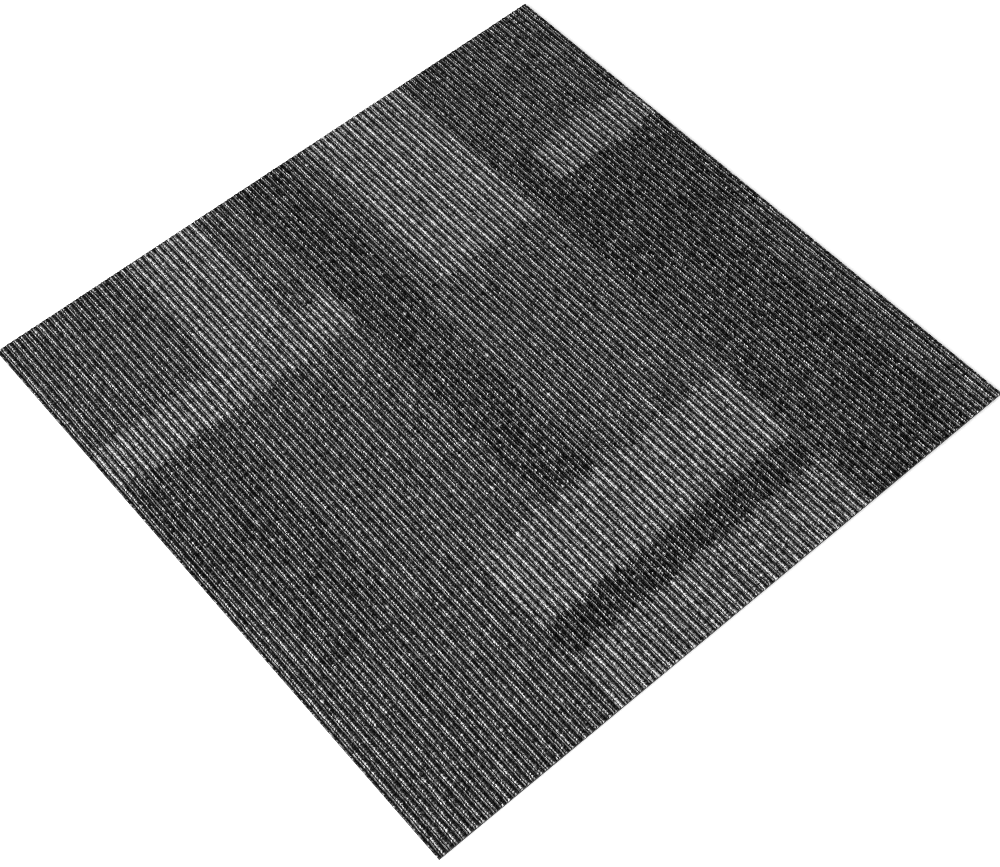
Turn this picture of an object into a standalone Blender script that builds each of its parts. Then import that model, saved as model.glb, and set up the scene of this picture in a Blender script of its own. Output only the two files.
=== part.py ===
"""A square carpet tile: a ribbed loop-pile face bonded to a flat cushion backing.

The tile lies flat. The origin is the middle of its underside, +Z is up, and the ribs run along Y.
Every length is in metres.
"""

import math

import bpy

# The tile
SIDE = 0.6096  # 24 in module, edge to edge

# The layers, from the floor up
BACKING_THICKNESS = 0.0022
BOND_GAP = 0.0003  # the adhesive film between the two layers

# The pile, a set of parallel tufted rows
ROW_GAUGE = 0.00211  # from row to row, about 1/12 in
HIGH_LOOP = 0.0027  # crown of a high row above the pile's underside
LOW_LOOP = 0.0014  # crown of a low row above the pile's underside
CREASE = 0.0005  # how far the crease between two rows lies under the lower crown
RIB_ROWS = ("low", "high", "high")  # each rib is a low row and then two high ones
CROWN_STEPS = 4  # facets across the round crown of a row

# Finishes: linear colour and roughness
YARN_COLOUR = (0.10, 0.10, 0.10, 1.0)
YARN_ROUGHNESS = 0.9
BACKING_COLOUR = (0.02, 0.02, 0.021, 1.0)
BACKING_ROUGHNESS = 0.75


def clear_scene():
    """Removes whatever the scene holds."""
    for thing in list(bpy.data.objects):
        bpy.data.objects.remove(thing, do_unlink=True)


def new_collection(name):
    """Makes a collection in the scene and returns it."""
    collection = bpy.data.collections.new(name)
    bpy.context.scene.collection.children.link(collection)
    return collection


def new_material(name, colour, roughness):
    """Makes a Principled BSDF material with one colour and roughness."""
    material = bpy.data.materials.new(name)
    material.use_nodes = True
    shader = material.node_tree.nodes["Principled BSDF"]
    shader.inputs["Base Color"].default_value = colour
    shader.inputs["Roughness"].default_value = roughness
    shader.inputs["Metallic"].default_value = 0.0
    material.diffuse_color = colour
    return material


def row_crowns():
    """Crown height of each row from edge to edge. Whole ribs, closed by one more low row."""
    heights = {"low": LOW_LOOP, "high": HIGH_LOOP}
    ribs = round((SIDE / ROW_GAUGE - 1) / len(RIB_ROWS))
    rows = RIB_ROWS * ribs + RIB_ROWS[:1]
    return [heights[row] for row in rows]


def pile_outline():
    """Cross-section of the pile, across the ribs: x from the middle, z from its underside."""
    crowns = row_crowns()
    pitch = SIDE / len(crowns)
    points = [(-SIDE / 2, 0.0)]
    for row, crown in enumerate(crowns):
        left = min(crown, crowns[max(row - 1, 0)]) - CREASE
        right = min(crown, crowns[min(row + 1, len(crowns) - 1)]) - CREASE
        centre = -SIDE / 2 + (row + 0.5) * pitch
        for step in range(CROWN_STEPS):
            angle = math.pi * (1 - step / CROWN_STEPS)
            crease = left if angle > math.pi / 2 else right
            x = centre + pitch / 2 * math.cos(angle)
            z = crease + (crown - crease) * math.sin(angle)
            points.append((x, z))
    points.append((SIDE / 2, crowns[-1] - CREASE))
    points.append((SIDE / 2, 0.0))
    return points


def make_backing(collection):
    """The cushion backing: a flat slab, cut square on all four edges."""
    bpy.ops.mesh.primitive_cube_add(size=1.0, location=(0, 0, BACKING_THICKNESS / 2))
    backing = bpy.context.object
    backing.name = "backing"
    backing.scale = (SIDE, SIDE, BACKING_THICKNESS)
    bpy.ops.object.transform_apply(location=False, rotation=False, scale=True)
    backing.data.materials.append(new_material("cushion backing", BACKING_COLOUR, BACKING_ROUGHNESS))
    for other in list(backing.users_collection):
        other.objects.unlink(backing)
    collection.objects.link(backing)
    return backing


def make_pile(collection):
    """The pile: the ribbed cross-section, run the length of the tile."""
    curve = bpy.data.curves.new("pile", "CURVE")
    curve.dimensions = "2D"
    curve.fill_mode = "BOTH"
    curve.extrude = SIDE / 2
    outline = pile_outline()
    spline = curve.splines.new("POLY")
    spline.points.add(len(outline) - 1)
    for point, (x, z) in zip(spline.points, outline):
        point.co = (x, z, 0.0, 1.0)
    spline.use_cyclic_u = True
    curve.materials.append(new_material("loop pile yarn", YARN_COLOUR, YARN_ROUGHNESS))
    pile = bpy.data.objects.new("pile", curve)
    pile.location = (0, 0, BACKING_THICKNESS + BOND_GAP)
    pile.rotation_euler = (math.pi / 2, 0, 0)
    collection.objects.link(pile)
    return pile


def main():
    clear_scene()
    tile = new_collection("carpet_tile")
    make_backing(tile)
    make_pile(tile)


main()
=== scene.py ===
# %% [markdown]
# A carpet tile, loop by loop.
#
# The real thing is a square of tufted carpet, die-cut from a wide roll. Rows of yarn loops stand in a
# cloth, every third row is low and dark, and the cloth is bonded to a black cushion backing. The solid
# parts come first, as a fixed frame. This script then makes the yarn that the eye sees.

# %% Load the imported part
import math

import bpy
import numpy as np
from mathutils import Matrix, Vector


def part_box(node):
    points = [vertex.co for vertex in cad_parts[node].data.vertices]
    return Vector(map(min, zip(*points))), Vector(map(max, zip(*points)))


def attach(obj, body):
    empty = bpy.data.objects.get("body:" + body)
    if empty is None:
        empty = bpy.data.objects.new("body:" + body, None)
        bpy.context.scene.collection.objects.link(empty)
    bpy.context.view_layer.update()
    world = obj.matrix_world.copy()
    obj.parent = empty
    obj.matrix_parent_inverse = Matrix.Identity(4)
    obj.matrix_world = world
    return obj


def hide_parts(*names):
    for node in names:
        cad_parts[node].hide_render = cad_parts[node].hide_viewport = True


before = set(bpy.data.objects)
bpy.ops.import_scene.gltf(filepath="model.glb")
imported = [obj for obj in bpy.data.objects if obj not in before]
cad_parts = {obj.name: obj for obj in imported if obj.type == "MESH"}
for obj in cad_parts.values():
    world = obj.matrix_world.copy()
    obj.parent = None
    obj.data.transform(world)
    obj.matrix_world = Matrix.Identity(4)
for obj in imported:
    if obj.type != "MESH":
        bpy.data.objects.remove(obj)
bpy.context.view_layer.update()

# %% [markdown]
# The camera stands where the photographer stood: in front of the near corner, looking down at 58
# degrees. Its place was worked out from the four corners of the tile in the picture, so a corner of the
# model lands within a pixel of the same corner there. The camera is turned a little about its own axis,
# as a camera held in the hand is.

# %% Camera
PHOTO_WIDTH = 1000  # pixels
FOCAL_PIXELS = 1892.0
SENSOR_WIDTH = 36.0  # mm
NEAREST_SEEN = 0.05
CAMERA_AZIMUTH = math.radians(-35.96)
CAMERA_ELEVATION = math.radians(58.0)
CAMERA_ROLL = math.radians(-5.18)
CAMERA_DISTANCE = 1.5888
CAMERA_TARGET = Vector((-0.0314, -0.0525, 0.0))

camera_data = bpy.data.cameras.new("camera")
camera_data.sensor_width = SENSOR_WIDTH
camera_data.lens = SENSOR_WIDTH * FOCAL_PIXELS / PHOTO_WIDTH
camera_data.clip_start = NEAREST_SEEN
camera = bpy.data.objects.new("camera", camera_data)
back = Vector((
    math.sin(CAMERA_AZIMUTH) * math.cos(CAMERA_ELEVATION),
    -math.cos(CAMERA_AZIMUTH) * math.cos(CAMERA_ELEVATION),
    math.sin(CAMERA_ELEVATION),
))
place = Matrix.Translation(CAMERA_TARGET + back * CAMERA_DISTANCE)
look = (-back).to_track_quat("-Z", "Y").to_matrix().to_4x4()
camera.matrix_world = place @ look @ Matrix.Rotation(CAMERA_ROLL, 4, "Z")
bpy.context.scene.collection.objects.link(camera)
bpy.context.scene.camera = camera
print("lens", round(camera_data.lens, 1), "mm")

# %% [markdown]
# A loop is only two pixels wide in this picture, so two settings of the renderer matter. Each pixel is
# averaged over a spot a little smaller than itself, which keeps the picture as crisp as the
# photographer's. The denoiser stays off, because it takes the flecks of the yarn for noise. The tones
# are shown as they are, without a film's curve, so white stays white.

# %% A crisp picture
PIXEL_FILTER = 0.8  # pixels
bpy.context.scene.cycles.filter_width = PIXEL_FILTER
bpy.context.scene.cycles.use_denoising = False
bpy.context.scene.view_settings.view_transform = "Standard"
print("pixel filter", PIXEL_FILTER)

# %% [markdown]
# Product pictures of carpet are taken in flat, soft light on white. A white world gives light from all
# sides, and one wide lamp from the upper left gives the ribs just enough shade to read as ribs.

# %% Light
WORLD_STRENGTH = 0.78
LAMP_POWER = 38.0  # watts
LAMP_SIZE = 1.6
LAMP_PLACE = Vector((-1.4, -0.3, 1.5))


def srgb(hex_colour):
    """An sRGB hex colour as linear red, green, blue and alpha."""
    parts = [int(hex_colour[i:i + 2], 16) / 255 for i in (1, 3, 5)]
    return [c / 12.92 if c <= 0.04045 else ((c + 0.055) / 1.055) ** 2.4 for c in parts] + [1.0]


world = bpy.data.worlds.new("white studio")
world.use_nodes = True
sky = world.node_tree.nodes["Background"]
sky.inputs["Color"].default_value = srgb("#ffffff")
sky.inputs["Strength"].default_value = WORLD_STRENGTH
bpy.context.scene.world = world

lamp_data = bpy.data.lights.new("wide lamp", "AREA")
lamp_data.shape = "SQUARE"
lamp_data.size = LAMP_SIZE
lamp_data.energy = LAMP_POWER
lamp = bpy.data.objects.new("wide lamp", lamp_data)
lamp.location = LAMP_PLACE
lamp.rotation_euler = LAMP_PLACE.to_track_quat("Z", "Y").to_euler()
bpy.context.scene.collection.objects.link(lamp)
print("lamp", LAMP_POWER, "W,", LAMP_SIZE, "m wide")

# %% Floor
FLOOR_SIZE = 12.0


def new_material(name, constants):
    """A material with only its Principled shader, whose named sockets get the constants."""
    material = bpy.data.materials.new(name)
    material.use_nodes = True
    shader = material.node_tree.nodes["Principled BSDF"]
    for socket, value in constants.items():
        shader.inputs[socket].default_value = value
    return material, material.node_tree, shader


bpy.ops.object.select_all(action="DESELECT")
bpy.ops.mesh.primitive_plane_add(size=FLOOR_SIZE, location=(0, 0, 0))
floor = bpy.context.object
floor.name = "floor"
paint, _, _ = new_material("matt white floor paint", {"Base Color": srgb("#fcfcfc"), "Roughness": 0.9})
floor.data.materials.append(paint)
print("floor", FLOOR_SIZE, "m across")

# %% [markdown]
# The sizes come from the frame and from the tufting machine. Its needles stand 1/12 inch apart and it
# makes 10 stitches to the inch. Three needle rows make a rib: one low dark row, the furrow, and two
# high ones. The left one, strand A, is plain grey. The right one, strand B, carries the design.

# %% Measures of the pile
MILLIMETRE = 0.001
GAUGE = 0.00211  # 1/12 inch, less a little shrinkage
STITCH_NOMINAL = 0.00254  # 10 stitches to the inch
ROWS_PER_RIB = 3

pile_low, pile_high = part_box("pile")
side = pile_high.x - pile_low.x
ribs = round((side / GAUGE - 1) / ROWS_PER_RIB)
rows = ribs * ROWS_PER_RIB + 1
gauge = side / rows
rib_pitch = gauge * ROWS_PER_RIB
stitches = round(side / STITCH_NOMINAL)
stitch = side / stitches
left = pile_low.x + gauge / 2  # the middle of the first furrow
front = pile_low.y
print(rows, "rows,", ribs, "ribs of", round(rib_pitch / MILLIMETRE, 2), "mm,", stitches, "stitches a row")

# %% [markdown]
# One stitch of one rib is modelled and then repeated. It starts as a flat grid that reaches from
# the middle of one furrow to the middle of the next. Each column of the grid is moved to its place
# across the rib and lifted: high in the middle of a loop, lower where the yarn dives into the cloth
# between two loops. A grid is enough, because the sides of a loop are never seen from below. The two
# high strands take turns: one crowns where the other dives.

# %% The section of a rib
RIB_SECTION = [  # rows from the furrow's middle, then mm high where two stitches meet and between them
    (0.00, 1.10, 1.35),  # furrow
    (0.42, 0.45, 0.45),
    (0.63, 1.50, 1.95),
    (0.88, 2.10, 2.60),  # crown of strand A
    (1.12, 1.45, 1.90),
    (1.33, 0.70, 0.80),
    (1.52, 2.05, 1.50),
    (1.79, 2.70, 2.15),  # crown of strand B
    (2.10, 2.15, 1.65),
    (2.43, 0.90, 0.60),
    (3.00, 1.10, 1.35),  # next furrow
]


def only(piece):
    """Makes the piece the one selected and active object."""
    bpy.ops.object.select_all(action="DESELECT")
    piece.select_set(True)
    bpy.context.view_layer.objects.active = piece


def pick(piece, rule):
    """In edit mode, selects the vertices whose place the rule accepts, and nothing else."""
    bpy.ops.object.mode_set(mode="OBJECT")
    for part in (piece.data.vertices, piece.data.edges, piece.data.polygons):
        part.foreach_set("select", np.zeros(len(part), bool))
    for vertex in piece.data.vertices:
        vertex.select = rule(vertex.co)
    bpy.ops.object.mode_set(mode="EDIT")


print(len(RIB_SECTION), "columns across a rib")

# %% One stitch of one rib
columns = len(RIB_SECTION) - 1
bpy.ops.object.select_all(action="DESELECT")
bpy.ops.mesh.primitive_grid_add(x_subdivisions=columns, y_subdivisions=2, size=1)
band = bpy.context.object
band.name = "pile_band_1"
band.scale = (rib_pitch, stitch, 1)
band.location = (left + rib_pitch / 2, front + stitch / 2, pile_low.z)
bpy.ops.object.transform_apply(location=True, rotation=False, scale=True)
bpy.ops.object.mode_set(mode="EDIT")
bpy.context.tool_settings.mesh_select_mode = (True, False, False)
near_x = rib_pitch / columns / 4
near_y = stitch / 8
unlifted = pile_low.z + near_x  # a vertex above this has had its turn
for number, (across, at_meeting, at_middle) in enumerate(RIB_SECTION):
    was = left + rib_pitch * number / columns
    sideways = left + across * gauge - was
    for ring, height in enumerate((at_meeting, at_middle, at_meeting)):
        level = front + ring * stitch / 2
        pick(band, lambda co: abs(co.x - was) < near_x and abs(co.y - level) < near_y and co.z < unlifted)
        bpy.ops.transform.translate(value=(sideways, 0, height * MILLIMETRE))
bpy.ops.object.mode_set(mode="OBJECT")
print("one stitch of one rib:", len(band.data.polygons), "faces")

# %% [markdown]
# The repeat is what the tufting machine does: stitch after stitch along a row, rib after rib across. Two
# Array modifiers do the same, and they merge the edges that meet, so a band of ribs is one unbroken
# sheet of loops. The tile is made of six bands side by side, which keeps each mesh light enough to
# handle. The joints between bands lie in the middle of a dark furrow, where nobody sees them.

# %% A band of ribs
BANDS = 6
MERGE = 0.00002


def repeat(piece, name, count, step):
    """Repeats the piece along a step with an Array modifier that merges what meets, and applies it."""
    only(piece)
    array = piece.modifiers.new(name, "ARRAY")
    array.count = count
    array.use_relative_offset = False
    array.use_constant_offset = True
    array.constant_offset_displace = step
    array.use_merge_vertices = True
    array.merge_threshold = MERGE
    bpy.ops.object.modifier_apply(modifier=name)


ribs_in_band = ribs // BANDS
repeat(band, "ribs", ribs_in_band, (rib_pitch, 0, 0))
repeat(band, "stitches", stitches, (0, stitch, 0))
bands = [band]
for number in range(1, BANDS):
    only(band)
    bpy.ops.object.duplicate()
    copy = bpy.context.object
    copy.name = f"pile_band_{number + 1}"
    copy.location.x = number * ribs_in_band * rib_pitch
    bpy.ops.object.transform_apply(location=True, rotation=False, scale=False)
    bands.append(copy)
print(BANDS, "bands of", ribs_in_band, "ribs,", len(band.data.polygons), "faces each")

# %% [markdown]
# The outermost furrows are cut through by the die. The first and the last band get that half row by
# extruding their outer edge to the cut line.

# %% Half a row at each outer edge
for piece, edge, outwards in ((bands[0], left, -1), (bands[-1], left + ribs * rib_pitch, 1)):
    only(piece)
    pick(piece, lambda co: abs(co.x - edge) < MERGE)
    bpy.ops.mesh.select_mode(type="EDGE")
    bpy.ops.mesh.extrude_region_move(TRANSFORM_OT_translate={"value": (outwards * gauge / 2, 0, 0)})
    bpy.ops.mesh.select_mode(type="VERT")
    bpy.ops.object.mode_set(mode="OBJECT")
print("outer bands reach", round((left - gauge / 2) / MILLIMETRE, 1), "mm")

# %% [markdown]
# The colour design is a plan of plain blocks. In every rib, strand B changes between a pale and a
# charcoal yarn, and the blocks say how often the pale one shows. Each block is given in millimetres from
# the tile's back left corner, and a later block lies over an earlier one. The borders across the ribs
# are sharp, because they fall between two ribs. Along the ribs they are ragged by a stitch or so,
# because the yarn can only change where it is stitched down.

# %% The plan of the blocks
SHADES = {  # the share of pale loops, their tone, and how full the strand stands
    "light": (1.0, 1.07, 1.0),
    "soft light": (0.99, 1.07, 0.84),
    "mid light": (0.96, 1.02, 0.30),
    "mid": (0.97, 1.04, 0.25),
    "soft mid": (0.91, 0.97, 0.20),
    "mid dark": (0.84, 0.88, 0.15),
    "dark": (0.72, 0.82, 0.08),
    "charcoal": (0.62, 0.80, 0.0),
}
BLOCKS = [  # a name, its shade, from and to across the ribs, from and to along them
    ("ground", "mid", 0, 610, 0, 610),
    ("left shade", "mid dark", 0, 110, 189, 323),
    ("left step", "mid dark", 30, 110, 323, 436),
    ("centre left", "mid light", 189, 250, 189, 436),
    ("dark column", "dark", 250, 311, 0, 436),
    ("back right", "mid dark", 451, 610, 0, 143),
    ("right band", "soft light", 490, 610, 144, 189),
    ("charcoal strip", "charcoal", 457, 490, 143, 323),
    ("right field", "charcoal", 454, 610, 189, 323),
    ("front right", "dark", 454, 512, 323, 610),
    ("front strip", "charcoal", 512, 567, 323, 610),
    ("right edge", "soft mid", 567, 610, 329, 610),
    ("back left light", "light", 131, 207, 0, 143),
    ("cross band", "light", 0, 253, 143, 189),
    ("back light", "light", 338, 451, 0, 204),
    ("front light", "light", 180, 451, 438, 518),
    ("front bar", "charcoal", 180, 451, 521, 552),
    ("front edge", "soft light", 180, 451, 555, 610),
]
RAGGED = 0.8  # stitches
SEED = 11
chance = np.random.default_rng(SEED)
rings = 2 * stitches + 1  # the places along a row where its height is set, two to a stitch

share, brightness, fullness = np.zeros((3, ribs, rings))
for _, shade, x0, x1, y0, y1 in BLOCKS:
    first, last = (round(x * MILLIMETRE / rib_pitch) for x in (x0, x1))
    for rib in range(first, min(last, ribs)):
        ends = (side - np.array([y1, y0]) * MILLIMETRE) / stitch + chance.normal(0, RAGGED, 2)
        low, high = np.clip(np.round(2 * ends), 0, rings).astype(int)
        low = 0 if y1 >= side / MILLIMETRE else low
        high = rings if y0 <= 0 else high
        share[rib, low:high], brightness[rib, low:high], fullness[rib, low:high] = SHADES[shade]
print(len(BLOCKS), "blocks, mean share of pale yarn", round(float(share.mean()), 2))

# %% [markdown]
# No two loops are alike. Bulked yarn puffs up more in one stitch than in the next, leans to a side, and
# now and then leaves a gap. All of it comes from one seeded generator, so each run gives the same tile.
# The values are kept per row and per half stitch, and each vertex takes those of the row it belongs to.
# Every second rib is tufted tight and bright, and the ones between are looser, wider and duller.

# %% Rows, and two kinds of chance
furrow = np.arange(0, rows, ROWS_PER_RIB)
strand_a = np.arange(1, rows, ROWS_PER_RIB)
strand_b = np.arange(2, rows, ROWS_PER_RIB)
meets = np.arange(rings) % 2 == 0  # where two stitches meet
loose = (np.arange(ribs) % 2 == 1)[:, None]
per_loop = (ribs, rings)
per_row = (rows, rings)


def slow(shape, reach):
    """Smooth random values along the rows, of spread 1, that change over so many half stitches."""
    kernel = np.hanning(2 * reach + 1)
    kernel /= math.sqrt((kernel ** 2).sum())
    raw = chance.normal(0, 1, (shape[0], shape[1] + 2 * reach))
    return np.array([np.convolve(line, kernel, "valid") for line in raw])


def uneven(steadiness, shape):
    """Random factors around 1, mostly a little under it and now and then well over it."""
    return chance.gamma(steadiness, 1 / steadiness, shape)


print(len(strand_b), "rows of each strand,", rings, "half stitches long")

# %% Yarn tones, row by row
# 0 is charcoal yarn and 1 is silver yarn; the same scale also carries painted shade.
STRAND_TONE = 0.385  # strand A
PALE_LOOP = 0.90  # strand B, where the pale yarn shows
DARK_LOOP = 0.10
PUFFED_LOOP = 0.9
# the low furrow row: dark yarn, kept near black as painted shade of its depth as well
FURROW_YARN_AND_SHADE = 0.016
LOOSE_RIB = 0.53  # what a loose rib keeps of its strand's tone
DIVE_SHADE_A = 0.50  # painted shade: what is left of strand A's tone where it dives between two loops
DIVE_SHADE_B = 0.04  # the same painted shade, for a thin strand B
DIVE_SHADE_FULL = 0.60  # the same painted shade, for the fullest strand B
STEADY = 3.3
STEADY_FULL = 3.0  # how much steadier the fullest strand is
SPECKLED = 0.7  # below 1 a few specks stand out and the rest stays dark
PUFFS = 0.008  # the share of loops that puff out
MOOD = 0.10  # slow changes of tone along a strand
MOOD_REACH = 20  # half stitches

pale = np.zeros(per_row)
pale[furrow] = FURROW_YARN_AND_SHADE * uneven(SPECKLED, (ribs + 1, rings))
pale[strand_a] = STRAND_TONE * uneven(STEADY, per_loop) * np.where(meets, DIVE_SHADE_A, 1.0)
silver = chance.random(per_loop) < share
puffed = chance.random(per_loop) < PUFFS
mood = 1 + MOOD * slow(per_loop, MOOD_REACH)
strand = np.where(silver, PALE_LOOP * brightness * mood, DARK_LOOP)
strand *= uneven(STEADY + STEADY_FULL * fullness, per_loop) * np.where(loose, LOOSE_RIB, 1.0)
# painted shade where strand B dives, lighter the fuller it stands
dive_shade = DIVE_SHADE_B + (DIVE_SHADE_FULL - DIVE_SHADE_B) * fullness
pale[strand_b] = np.where(puffed, PUFFED_LOOP, strand * np.where(meets, 1.0, dive_shade))
print("strand B mean tone", round(float(pale[strand_b].mean()), 3))

# %% [markdown]
# Pale blocks look paler for a second reason: there the strand is fed more yarn, so it stands fuller and
# hides the furrow beside it. That fullness widens the strand and carries its tone further down its side,
# over the painted shade there.
# The same step draws how far each loop strays from its place, and how the die frays the cut edges.

# %% Fullness and unevenness
BULK_SPREAD = 1.7  # a loop is between 0 and so many times as full as its block says
LOOSE_BULK = 0.2
PUFF_BULK = 0.7
LIFT = 0.00011  # the spreads of a loop's height and place, in metres
WANDER = 0.00016
WANDER_REACH = 5  # half stitches
JITTER = 0.00012
JITTER_TIGHT = 0.00008
JITTER_LOOSE = 0.00024
SHIFT = 0.00020
FRAY = 0.0002  # how far yarn stands past the cut, at most
STRAY = 0.15  # the tone of the yarn that the die has cut
STRAY_SPECKLED = 0.8

bulk = fullness * chance.uniform(0.0, BULK_SPREAD, per_loop) + LOOSE_BULK * loose + PUFF_BULK * puffed
lift = LIFT * chance.normal(0, 1, per_row)
aside = WANDER * slow(per_row, WANDER_REACH) + JITTER * chance.normal(0, 1, per_row)
along = SHIFT * chance.normal(0, 1, per_row)
aside[strand_b] += np.where(loose, JITTER_LOOSE, JITTER_TIGHT) * chance.normal(0, 1, per_loop)
fray = FRAY * chance.random(per_row)
stray = STRAY * uneven(STRAY_SPECKLED, per_row)
print("mean fullness", round(float(bulk.mean()), 2))

# %% [markdown]
# Each vertex is moved and toned by the row under it. On a crown that is the row's own value. Down the
# flanks the tone is lowered as painted shade, and in a crease between two rows only painted shade in the
# charcoal colour is left. Loops that the die cut through at the two ends of the rows have lost their
# hold, so they slump to one level and leave a straight edge.

# %% What each column takes from its row
# The row, how far the column follows that row's moves, its share of the row's tone (below 1 it is painted
# shade on the flanks, 0 in the creases), what fullness adds to that share, how far fullness moves it
# sideways in rows, and how far the twist of the yarn moves it along in stitches
COLUMN_RULES = [
    (0, 0.3, 1.00, 0.00, 0.00, 0.00),  # furrow
    (0, 0.2, 0.00, 0.00, 0.00, 0.00),
    (1, 0.8, 0.25, 0.00, 0.00, -0.10),
    (1, 1.0, 1.00, 0.00, 0.00, 0.00),  # crown of strand A
    (1, 0.8, 0.18, 0.00, 0.00, 0.10),
    (1, 0.4, 0.00, 0.00, 0.00, 0.00),
    (2, 0.8, 0.20, 0.08, -0.05, -0.10),
    (2, 1.0, 1.00, 0.00, 0.05, 0.00),  # crown of strand B
    (2, 0.8, 0.25, 0.50, 0.14, 0.12),
    (2, 0.2, 0.00, 0.24, 0.14, 0.12),
    (3, 0.3, 1.00, 0.00, 0.00, 0.00),  # next furrow
]
HIGHEST = pile_high.z + 0.0004
CUT_LEVEL = pile_low.z + 0.0017
CUT_SLUMP = 0.6  # of the way to that level
ROUNDING = 1e-4  # of a rib


def vectors(items, name):
    """One vector property of many mesh items, as an array with a row for each."""
    values = np.empty(len(items) * 3)
    items.foreach_get(name, values)
    return values.reshape(-1, 3)


section_places = np.array([line[0] for line in RIB_SECTION])
column_rules = np.array(COLUMN_RULES)
print(len(column_rules), "columns with rules")

# %% Uneven loops and their tones
for piece in bands:
    places = vectors(piece.data.vertices, "co")
    x, y = places[:, 0], places[:, 1]
    rib = np.clip(np.floor((x - left) / rib_pitch + ROUNDING), 0, ribs - 1).astype(int)
    column = np.abs((x - left - rib * rib_pitch)[:, None] / gauge - section_places).argmin(1)
    ring = np.clip(np.round((y - front) / stitch * 2), 0, rings - 1).astype(int)
    own_row, hold, tone_share_under_painted_shade, tone_full, widen, lean = column_rules[column].T
    row = rib * ROWS_PER_RIB + own_row.astype(int)
    full = bulk[rib, ring]
    inside = np.abs(x) < side / 2 - gauge / 4
    between = (ring > 0) & (ring < rings - 1)
    past_x = np.where(inside, 0.0, np.sign(x))
    past_y = np.where(between, 0.0, np.sign(y)) * hold
    places[:, 0] += (hold * aside[row, ring] + widen * full * gauge) * inside + past_x * fray[row, ring]
    places[:, 1] += (hold * along[row, ring] + lean * stitch) * between + past_y * fray[row, ring]
    places[:, 2] = np.minimum(places[:, 2] + hold * lift[row, ring], HIGHEST)
    places[:, 2] += CUT_SLUMP * (CUT_LEVEL - places[:, 2]) * ~between
    piece.data.vertices.foreach_set("co", places.ravel())
    tone = piece.data.attributes.new("pale_yarn_and_painted_shade", "FLOAT", "POINT")
    # the row's tone, darkened on the flanks and in the creases as painted shade
    shown = pale[row, ring] * (tone_share_under_painted_shade + tone_full * full)
    shown = np.where(inside, shown, stray[row, ring])
    tone.data.foreach_set("value", shown.astype(np.float32))
    piece.data.update()
print("loops toned and shifted in", len(bands), "bands")

# %% [markdown]
# The sheet of loops has an underside: the cloth that the yarn is stitched through. Each band's outline is
# extruded straight down to the cloth and filled, which makes it one closed body.

# %% Close each band
CLOTH_DROP = 0.00025  # below the pile solid, just clear of the backing
cloth_middle = (0, 0, pile_low.z - CLOTH_DROP)
for piece in bands:
    only(piece)
    bpy.ops.object.mode_set(mode="EDIT")
    bpy.ops.mesh.select_mode(type="VERT")
    bpy.ops.mesh.select_all(action="SELECT")
    bpy.ops.mesh.region_to_loop()
    bpy.ops.mesh.mark_sharp()
    bpy.ops.mesh.extrude_region_move(TRANSFORM_OT_translate={"value": (0, 0, -CLOTH_DROP)})
    bpy.ops.transform.resize(value=(1, 1, 0), center_override=cloth_middle)
    bpy.ops.mesh.edge_face_add()
    bpy.ops.mesh.mark_sharp()
    bpy.ops.mesh.select_all(action="SELECT")
    bpy.ops.mesh.faces_shade_smooth()
    bpy.ops.object.mode_set(mode="OBJECT")
    triangles = sum(len(face.vertices) - 2 for face in piece.data.polygons)
    print(piece.name, triangles, "triangles")

# %% [markdown]
# Each band also gets a flat map of its own, as if the band were unrolled on a square sheet. The map lets
# the finish be baked into a picture for programs that can't run Blender's material nodes. The loops take
# nearly the whole sheet, and the cut walls and the cloth under the loops get narrow strips beside them.

# %% A flat map of each band
LOOPS_SHARE = 0.94  # of the sheet's width and height
WALL_STRIP = 0.955
WALL_STRIP_WIDTH = 0.02
WALL_SHARE = 0.45  # of that strip, for each of two opposite walls
WALL_STEP = 0.5
CLOTH_STRIP = 0.98
CLOTH_STRIP_WIDTH = 0.02
UPRIGHT = 0.05  # a face whose normal has less height than this stands upright

for piece in bands:
    mesh = piece.data
    sheet = mesh.uv_layers.new(name="OFBake")
    places = vectors(mesh.vertices, "co")
    corner = np.empty(len(mesh.loops), int)
    mesh.loops.foreach_get("vertex_index", corner)
    sizes = np.empty(len(mesh.polygons), int)
    mesh.polygons.foreach_get("loop_total", sizes)
    facing = np.repeat(vectors(mesh.polygons, "normal"), sizes, axis=0)
    centre = np.repeat(vectors(mesh.polygons, "center"), sizes, axis=0)
    lowest, highest = places.min(0), places.max(0)
    from_left, from_front, from_below = ((places[corner] - lowest) / (highest - lowest)).T
    upright = np.abs(facing[:, 2]) < UPRIGHT
    end_wall = upright & (np.abs(facing[:, 1]) > np.abs(facing[:, 0]))
    side_wall = upright & ~end_wall
    cloth = facing[:, 2] < -UPRIGHT
    first_wall = np.where(end_wall, centre[:, 1] < 0, centre[:, 0] < (lowest + highest)[0] / 2)
    strip = WALL_STRIP + WALL_STRIP_WIDTH * (from_below * WALL_SHARE + first_wall * WALL_STEP)
    flat = np.column_stack((from_left, from_front)) * LOOPS_SHARE
    flat[end_wall, 1] = strip[end_wall]
    flat[side_wall, 0] = strip[side_wall]
    flat[cloth, 0] = CLOTH_STRIP + CLOTH_STRIP_WIDTH * from_left[cloth]
    sheet.data.foreach_set("uv", flat.ravel().astype(np.float32))
print("mapped", len(bands), "bands")

# %% [markdown]
# The yarn is bulked continuous filament nylon: many fine crimped filaments, solution-dyed, so that one
# yarn is charcoal right through and the other silver. Bulked yarn has no shine to speak of, but its
# filaments catch the light one by one, which gives the fine salt and pepper. That is painted into the
# colour: a noise texture, drawn out along the twist of the yarn, paints glints and shade of single
# filaments over the loop's tone. The tone of the loop says how pale.

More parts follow.
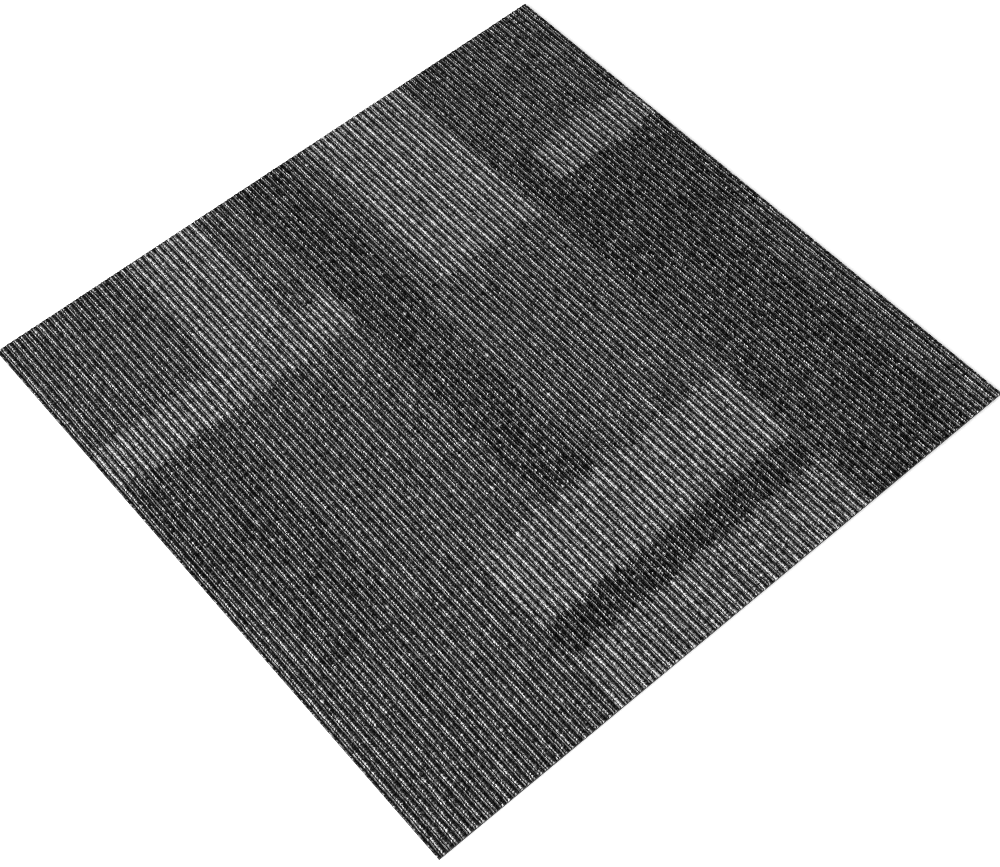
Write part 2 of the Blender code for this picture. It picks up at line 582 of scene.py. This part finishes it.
# %% Bulked nylon yarn, solution-dyed
# charcoal yarn, nearly black, and the colour that the painted shade of creases and dives ends in
CHARCOAL_AND_SHADE = "#020202"
SILVER = "#f4f4f4"
FILAMENT_CLUMP = 0.0005  # metres, drawn coarser than the real 0.05 mm filaments so that it shows
FILAMENT_STRETCH = (0.55, 1.9, 1.0)  # narrower across the row, longer along it
TWIST = math.radians(30)
NYLON_IOR = 1.53


def add_node(tree, kind, settings=None, **sockets):
    """Adds a node, sets its properties, then fills each named socket with a value or a link."""
    node = tree.nodes.new(kind)
    for name, value in (settings or {}).items():
        setattr(node, name, value)
    for name, value in sockets.items():
        socket = node.inputs[int(name[1:])] if name[0] == "i" and name[1:].isdigit() else node.inputs[name]
        if isinstance(value, bpy.types.NodeSocket):
            tree.links.new(value, socket)
        else:
            socket.default_value = value
    return node


yarn, tree, shader = new_material("bulked nylon yarn, solution-dyed", {
    "Roughness": 0.85,
    "IOR": NYLON_IOR,
    "Specular IOR Level": 0.02,  # filaments shade one another's gloss
})
# the tone of the yarn, with the painted shade of flanks, creases and dives in it
tone = add_node(tree, "ShaderNodeAttribute", {"attribute_name": "pale_yarn_and_painted_shade"})
where = add_node(tree, "ShaderNodeTexCoord")
slant = add_node(
    tree, "ShaderNodeMapping", {"vector_type": "TEXTURE"},
    Vector=where.outputs["Object"], Rotation=(0, 0, -TWIST), Scale=FILAMENT_STRETCH,
)
flecks = add_node(
    tree, "ShaderNodeTexNoise", {"noise_dimensions": "3D"},
    Vector=slant.outputs["Vector"], Scale=1 / FILAMENT_CLUMP, Detail=1.0, Roughness=0.5,
)
# painted glints and painted shade of single filaments: the loop's tone up to doubled or down to nothing
filament_glints_and_shade = add_node(
    tree, "ShaderNodeMapRange", None,
    Value=flecks.outputs["Fac"], **{"From Min": 0.42, "From Max": 0.58, "To Min": 0.0, "To Max": 2.0},
)
shown = add_node(
    tree, "ShaderNodeMath", {"operation": "MULTIPLY", "use_clamp": True},
    i0=tone.outputs["Fac"], i1=filament_glints_and_shade.outputs["Result"],
)
mixed = add_node(
    tree, "ShaderNodeMix", {"data_type": "RGBA"},
    i0=shown.outputs["Value"], i6=srgb(CHARCOAL_AND_SHADE), i7=srgb(SILVER),
)
bump = add_node(
    tree, "ShaderNodeBump", None, Height=flecks.outputs["Fac"], Strength=0.6, Distance=0.0002,
)
tree.links.new(mixed.outputs[2], shader.inputs["Base Color"])
tree.links.new(bump.outputs["Normal"], shader.inputs["Normal"])
print("yarn made of", len(tree.nodes), "nodes")

# %% Yarn on the bands
for piece in bands:
    piece.data.materials.clear()
    piece.data.materials.append(yarn)
    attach(piece, "root")
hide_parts("pile")
print("yarn on", len(bands), "bands")

# %% [markdown]
# The backing is a calendered cushion of filled vinyl. Rolling leaves a dull, faintly pebbled skin, and
# the die leaves the same black on the cut edges. A net of glass threads lies inside and keeps the tile
# flat. It shows through the underside as a faint grid, which is drawn with two wave textures, one for
# each direction of the threads. Two noise textures give the pebbles and the uneven dust.

# %% Calendered vinyl cushion
BLACK = "#0e0e0f"
DUSTY = "#3a3a3a"
NET_PITCH = 0.005  # metres between two threads of the net
WAVE_UNIT = math.tau / 20  # the wavelength of a wave texture of scale 1
PEBBLE = 0.0012  # metres
DUST_SCALE = 14.0
VINYL_IOR = 1.53

cushion, tree, shader = new_material("calendered vinyl cushion", {"Roughness": 0.62, "IOR": VINYL_IOR})
where = add_node(tree, "ShaderNodeTexCoord")
pebble = add_node(
    tree, "ShaderNodeTexNoise", None,
    Vector=where.outputs["Object"], Scale=1 / PEBBLE, Detail=3.0, Roughness=0.6,
)
dust = add_node(
    tree, "ShaderNodeTexNoise", None, Vector=where.outputs["Object"], Scale=DUST_SCALE, Detail=4.0,
)
threads = [
    add_node(
        tree, "ShaderNodeTexWave", {"wave_type": "BANDS", "bands_direction": direction},
        Vector=where.outputs["Object"], Scale=WAVE_UNIT / NET_PITCH, Distortion=0.6,
    )
    for direction in ("X", "Y")
]
net = add_node(
    tree, "ShaderNodeMath", {"operation": "MAXIMUM"},
    i0=threads[0].outputs["Fac"], i1=threads[1].outputs["Fac"],
)
ridge = add_node(
    tree, "ShaderNodeMapRange", None,
    Value=net.outputs["Value"], **{"From Min": 0.8, "From Max": 1.0, "To Min": 0.0, "To Max": 0.5},
)
relief = add_node(
    tree, "ShaderNodeMath", {"operation": "ADD"}, i0=pebble.outputs["Fac"], i1=ridge.outputs["Result"],
)
worn = add_node(
    tree, "ShaderNodeMath", {"operation": "MULTIPLY"}, i0=relief.outputs["Value"], i1=dust.outputs["Fac"],
)
colour = add_node(
    tree, "ShaderNodeMix", {"data_type": "RGBA"}, i0=worn.outputs["Value"], i6=srgb(BLACK), i7=srgb(DUSTY),
)
bump = add_node(
    tree, "ShaderNodeBump", None, Height=relief.outputs["Value"], Strength=0.5, Distance=0.0002,
)
tree.links.new(colour.outputs[2], shader.inputs["Base Color"])
tree.links.new(bump.outputs["Normal"], shader.inputs["Normal"])
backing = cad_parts["backing"]
backing.data.materials.clear()
backing.data.materials.append(cushion)
print("backing finished with", len(tree.nodes), "nodes")
